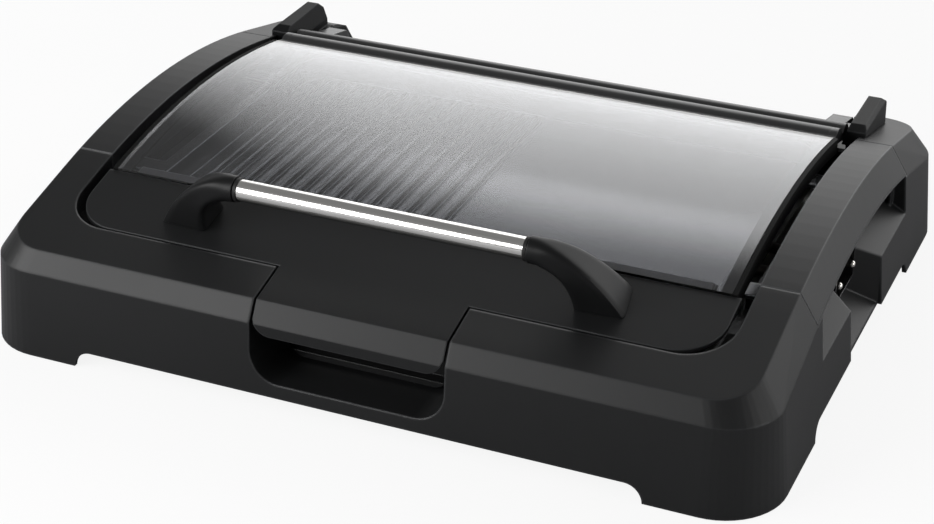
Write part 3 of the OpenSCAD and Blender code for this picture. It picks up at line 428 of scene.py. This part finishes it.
# Bar end caps
# Two soft end pieces in the bar's own section; they fill the gap between the ends of the front
# ridge and the hinge posts and turn with the lid.
bar_low, bar_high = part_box("rear_bar")
pin_low, pin_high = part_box("hinge_pins")
axis_y, axis_z = (pin_low.y + pin_high.y) / 2, (pin_low.z + pin_high.z) / 2
cap_length, slice_length = 0.0052, 0.0004
cap_over_axis, cap_before_axis = 0.006, 0.017
for side, name in ((1, "bar_cap_right"), (-1, "bar_cap_left")):
    end_x = bar_high.x if side > 0 else bar_low.x
    shape = bmesh.new()
    shape.from_mesh(node_of["rear_bar"].data)
    planes = (
        ((end_x - side * slice_length, 0, 0), (-side, 0, 0)),
        ((0, 0, axis_z + cap_over_axis), (0, 0, -1)),
        ((0, axis_y - cap_before_axis, 0), (0, 1, 0)),
    )
    for point, outward in planes:
        cut = bmesh.ops.bisect_plane(
            shape, geom=[*shape.verts, *shape.edges, *shape.faces], dist=1e-7,
            plane_co=point, plane_no=outward, clear_outer=True)
        rim = [g for g in cut["geom_cut"] if isinstance(g, bmesh.types.BMEdge)]
        bmesh.ops.triangle_fill(shape, use_beauty=True, edges=rim)
    bmesh.ops.translate(shape, verts=shape.verts, vec=(side * slice_length - end_x, 0, 0))
    bmesh.ops.scale(shape, verts=shape.verts, vec=(cap_length / slice_length, 1, 1))
    bmesh.ops.translate(shape, verts=shape.verts, vec=(end_x, 0, 0))
    bmesh.ops.recalc_face_normals(shape, faces=shape.faces)
    cap_mesh = bpy.data.meshes.new(name)
    shape.to_mesh(cap_mesh)
    shape.free()
    # The caps take the bar's lighter colour, painted light as on the bar.
    cap_mesh.materials.append(bar_plastic_painted_light)
    cap = bpy.data.objects.new(name, cap_mesh)
    bpy.context.scene.collection.objects.link(cap)
    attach(cap, "lid")


# Lid glass and its side trims
# Arched tempered glass, 4 mm thick, with a light smoke tint; black silicone profiles close
# its two sides.
def smoked_glass():
    material = bpy.data.materials.new("smoked_glass")
    material.use_nodes = True
    nodes, link = material.node_tree.nodes, material.node_tree.links.new
    shader = nodes["Principled BSDF"]
    shader.inputs["Transmission Weight"].default_value = 1.0
    shader.inputs["IOR"].default_value = 1.62
    place = nodes.new("ShaderNodeTexCoord")
    film = nodes.new("ShaderNodeTexNoise")
    film.inputs["Scale"].default_value = 5.0
    film.inputs["Detail"].default_value = 3.0
    tint = nodes.new("ShaderNodeMix")
    tint.data_type = "RGBA"
    tint.inputs["A"].default_value = (0.80, 0.81, 0.84, 1)
    tint.inputs["B"].default_value = (0.85, 0.86, 0.89, 1)
    gloss = nodes.new("ShaderNodeMapRange")
    gloss.inputs["To Min"].default_value = 0.0
    gloss.inputs["To Max"].default_value = 0.012
    link(place.outputs["Object"], film.inputs["Vector"])
    link(film.outputs["Fac"], tint.inputs["Factor"])
    link(film.outputs["Fac"], gloss.inputs["Value"])
    link(tint.outputs["Result"], shader.inputs["Base Color"])
    link(gloss.outputs["Result"], shader.inputs["Roughness"])
    return material


dress(smoked_glass(), "lid_glass")
dress(moulded("trim_silicone", (0.003, 0.003, 0.003), 0.65, grain=800.0, radius=0.0006, shine=0.1),
      "side_trim_left", "side_trim_right")


# Handle tube and rings
# A polished stainless tube, brushed along its length, with a thin black ring at each end.
dress(metal("tube_steel", (0.8, 0.79, 0.77), 0.16, streaks=(1, 40, 40), scale=40.0, spread=0.04),
      "handle_tube")
dress(moulded("ring_rubber", (0.01, 0.01, 0.01), 0.5, grain=900.0, radius=0.0003), "handle_rings")


# Handle arms
# Horn-shaped mouldings in satin black: round where they take the tube, bent down to the lid
# and widened to a square foot, with one flat outer side that ends in a crisp ridge.
def bezier(points, t):
    a, b, c, d = points
    return a * (1 - t) ** 3 + b * 3 * (1 - t) ** 2 * t + c * 3 * (1 - t) * t * t + d * t**3


def lofted_arm(name):
    low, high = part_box("handle_tube")
    ring_gap, neck = 0.0003, 0.0085
    end_x, mid_y, mid_z = high.x + ring_gap, (low.y + high.y) / 2, (low.z + high.z) / 2
    over = ((0, neck), (0.020, 0.0088), (0.042, -0.006), (0.0595, -0.0375))
    under = ((0, -neck), (0.021, -0.0085), (0.0265, -0.018), (0.0268, -0.041))
    outer = [Vector((end_x + x, mid_z + z)) for x, z in over]
    inner = [Vector((end_x + x, mid_z + z)) for x, z in under]
    front = (mid_y - neck, mid_y - neck, mid_y - 0.006, mid_y + 0.0035)
    rear = (mid_y + neck, mid_y + 0.0090, mid_y + 0.021, mid_y + 0.0355)
    round_power, square_gain, round_until, quickening = 2, 13, 0.08, 1.25

    def place(ring, t):
        """Put the corners of one ring on the section at t, from a circle to a rounded square."""
        top, foot, y0, y1 = bezier(outer, t), bezier(inner, t), bezier(front, t), bezier(rear, t)
        power = round_power + square_gain * max(0, t - round_until) ** quickening
        for k, vert in enumerate(ring):
            c, s = math.cos(math.tau * k / len(ring)), math.sin(math.tau * k / len(ring))
            reach = (abs(c) ** power + abs(s) ** power) ** (-1 / power)
            across = (top + foot) / 2 + (top - foot) / 2 * reach * c
            vert.co = (across.x, (y0 + y1) / 2 + (y1 - y0) / 2 * reach * s, across.y)

    corners, stations = 56, 30
    shape = bmesh.new()
    ring = bmesh.ops.create_circle(shape, cap_ends=True, radius=1, segments=corners)["verts"]
    place(ring, 0)
    for i in range(stations):
        edges = [e for e in shape.edges if all(v in ring for v in e.verts)]
        grown = bmesh.ops.extrude_edge_only(shape, edges=edges)["geom"]
        new = {g for g in grown if isinstance(g, bmesh.types.BMVert)}
        ring = [next(e.other_vert(v) for e in v.link_edges if e.other_vert(v) in new) for v in ring]
        place(ring, (i + 1) / stations)
    last = [e for e in shape.edges if all(v in ring for v in e.verts)]
    bmesh.ops.contextual_create(shape, geom=last)
    bmesh.ops.recalc_face_normals(shape, faces=shape.faces)
    deck_point, slope, crease = (0, -0.20675, 0.0738), math.radians(13.5), math.radians(40)
    cut = bmesh.ops.bisect_plane(
        shape, geom=[*shape.verts, *shape.edges, *shape.faces], dist=1e-7,
        plane_co=deck_point, plane_no=(0, math.sin(slope), -math.cos(slope)), clear_outer=True)
    rim = [g for g in cut["geom_cut"] if isinstance(g, bmesh.types.BMEdge)]
    bmesh.ops.contextual_create(shape, geom=rim)
    mesh = bpy.data.meshes.new(name)
    shape.to_mesh(mesh)
    shape.free()
    for face in mesh.polygons:
        face.use_smooth = True
    mesh.set_sharp_from_angle(angle=crease)
    return mesh


arm_plastic = moulded("arm_plastic", (0.0062, 0.0064, 0.0067), 0.4, grain=1100.0, depth=0.00002,
                      shine=0.2)
for side, name in ((1, "handle_arm_right"), (-1, "handle_arm_left")):
    mesh = lofted_arm(name)
    if side < 0:
        mirrored = bmesh.new()
        mirrored.from_mesh(mesh)
        bmesh.ops.scale(mirrored, vec=(-1, 1, 1), verts=mirrored.verts)
        bmesh.ops.reverse_faces(mirrored, faces=mirrored.faces)
        mirrored.to_mesh(mesh)
        mirrored.free()
    mesh.materials.append(arm_plastic)
    arm = bpy.data.objects.new(name, mesh)
    bpy.context.scene.collection.objects.link(arm)
    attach(arm, "lid")
    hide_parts("handle_post_right" if side > 0 else "handle_post_left")


# Floor, lamps and world
# A white floor that keeps a soft shadow, a large soft lamp at the front left, a weaker one at
# the right, and a bright panel behind the grill whose reflection silvers the glass.
def seen_rays(nodes, link):
    """1 for rays from the camera, also when all they have met is clear glass; 0 for the others."""
    rays = nodes.new("ShaderNodeLightPath")
    met = nodes.new("ShaderNodeMath")
    met.operation = "ADD"
    fresh = nodes.new("ShaderNodeMath")
    fresh.operation = "LESS_THAN"
    fresh.inputs[1].default_value = 0.5
    through = nodes.new("ShaderNodeMath")
    through.operation = "MULTIPLY"
    seen = nodes.new("ShaderNodeMath")
    seen.operation = "MAXIMUM"
    link(rays.outputs["Glossy Depth"], met.inputs[0])
    link(rays.outputs["Diffuse Depth"], met.inputs[1])
    link(met.outputs[0], fresh.inputs[0])
    link(rays.outputs["Is Transmission Ray"], through.inputs[0])
    link(fresh.outputs[0], through.inputs[1])
    link(rays.outputs["Is Camera Ray"], seen.inputs[0])
    link(through.outputs[0], seen.inputs[1])
    return seen.outputs[0]


def pale_floor():
    backdrop_share = 0.88
    material = bpy.data.materials.new("pale_floor")
    material.use_nodes = True
    nodes, link = material.node_tree.nodes, material.node_tree.links.new
    shader = nodes["Principled BSDF"]
    shader.inputs["Roughness"].default_value = 0.9
    shader.inputs["Specular IOR Level"].default_value = 0.0
    glow = nodes.new("ShaderNodeEmission")
    seen = seen_rays(nodes, link)
    tone = nodes.new("ShaderNodeMix")
    tone.data_type = "RGBA"
    tone.inputs["A"].default_value = (0.5, 0.5, 0.51, 1)
    tone.inputs["B"].default_value = (0.95, 0.95, 0.95, 1)
    share = nodes.new("ShaderNodeMath")
    share.operation = "MULTIPLY"
    share.inputs[1].default_value = backdrop_share
    blend = nodes.new("ShaderNodeMixShader")
    link(seen, tone.inputs["Factor"])
    link(tone.outputs["Result"], shader.inputs["Base Color"])
    link(seen, share.inputs[0])
    link(share.outputs[0], blend.inputs[0])
    link(shader.outputs[0], blend.inputs[1])
    link(glow.outputs[0], blend.inputs[2])
    link(blend.outputs[0], nodes["Material Output"].inputs["Surface"])
    return material


half_side = 6
sheet = bmesh.new()
bmesh.ops.create_grid(sheet, x_segments=1, y_segments=1, size=half_side)
floor_mesh = bpy.data.meshes.new("floor")
sheet.to_mesh(floor_mesh)
sheet.free()
floor_mesh.materials.append(pale_floor())
floor = bpy.data.objects.new("floor", floor_mesh)
bpy.context.scene.collection.objects.link(floor)


def soft_lamp(name, place, aim, width, height, power):
    light = bpy.data.lights.new(name, "AREA")
    light.shape = "RECTANGLE"
    light.size, light.size_y, light.energy = width, height, power
    lamp = bpy.data.objects.new(name, light)
    lamp.location = place
    lamp.rotation_euler = (Vector(aim) - Vector(place)).to_track_quat("-Z", "Y").to_euler()
    bpy.context.scene.collection.objects.link(lamp)


soft_lamp("key", place=(-1.45, -1.6, 0.95), aim=(-0.1, -0.1, 0.05), width=2.0, height=1.3, power=50)
soft_lamp("side", place=(2.1, -0.25, 0.5), aim=(0.25, 0.05, 0.05), width=1.1, height=0.9, power=11)


def studio_world():
    panel_turn, panel_edge, panel_core = map(math.radians, (15, 52, 40))
    panel_top, panel_full = map(math.radians, (52, 38))
    panel_glow, room_glow = 1.75, 0.22
    world = bpy.data.worlds.new("studio")
    world.use_nodes = True
    nodes, link = world.node_tree.nodes, world.node_tree.links.new
    studio = nodes["Background"]
    studio.inputs["Color"].default_value = (1, 1, 1, 1)
    backdrop = nodes.new("ShaderNodeBackground")
    backdrop.inputs["Color"].default_value = (1, 1, 1, 1)
    way = nodes.new("ShaderNodeTexCoord")
    parts = nodes.new("ShaderNodeSeparateXYZ")
    level = nodes.new("ShaderNodeVectorMath")
    level.operation = "MULTIPLY"
    level.inputs[1].default_value = (1, 1, 0)
    unit = nodes.new("ShaderNodeVectorMath")
    unit.operation = "NORMALIZE"
    aim = nodes.new("ShaderNodeVectorMath")
    aim.operation = "DOT_PRODUCT"
    aim.inputs[1].default_value = (math.sin(panel_turn), math.cos(panel_turn), 0)
    width = nodes.new("ShaderNodeMapRange")
    width.interpolation_type = "SMOOTHSTEP"
    width.inputs["From Min"].default_value = math.cos(panel_edge)
    width.inputs["From Max"].default_value = math.cos(panel_core)
    height = nodes.new("ShaderNodeMapRange")
    height.interpolation_type = "SMOOTHSTEP"
    height.inputs["From Min"].default_value = math.sin(panel_top)
    height.inputs["From Max"].default_value = math.sin(panel_full)
    panel = nodes.new("ShaderNodeMath")
    panel.operation = "MULTIPLY"
    glow = nodes.new("ShaderNodeMath")
    glow.operation = "MULTIPLY_ADD"
    glow.inputs[1].default_value = panel_glow
    glow.inputs[2].default_value = room_glow
    choose = nodes.new("ShaderNodeMixShader")
    link(way.outputs["Generated"], parts.inputs[0])
    link(way.outputs["Generated"], level.inputs[0])
    link(level.outputs["Vector"], unit.inputs[0])
    link(unit.outputs["Vector"], aim.inputs[0])
    link(aim.outputs["Value"], width.inputs["Value"])
    link(parts.outputs["Z"], height.inputs["Value"])
    link(width.outputs["Result"], panel.inputs[0])
    link(height.outputs["Result"], panel.inputs[1])
    link(panel.outputs[0], glow.inputs[0])
    link(glow.outputs[0], studio.inputs["Strength"])
    link(seen_rays(nodes, link), choose.inputs[0])
    link(studio.outputs[0], choose.inputs[1])
    link(backdrop.outputs[0], choose.inputs[2])
    link(choose.outputs[0], nodes["World Output"].inputs["Surface"])
    return world


bpy.context.scene.world = studio_world()
bpy.context.scene.view_settings.view_transform = "Standard"
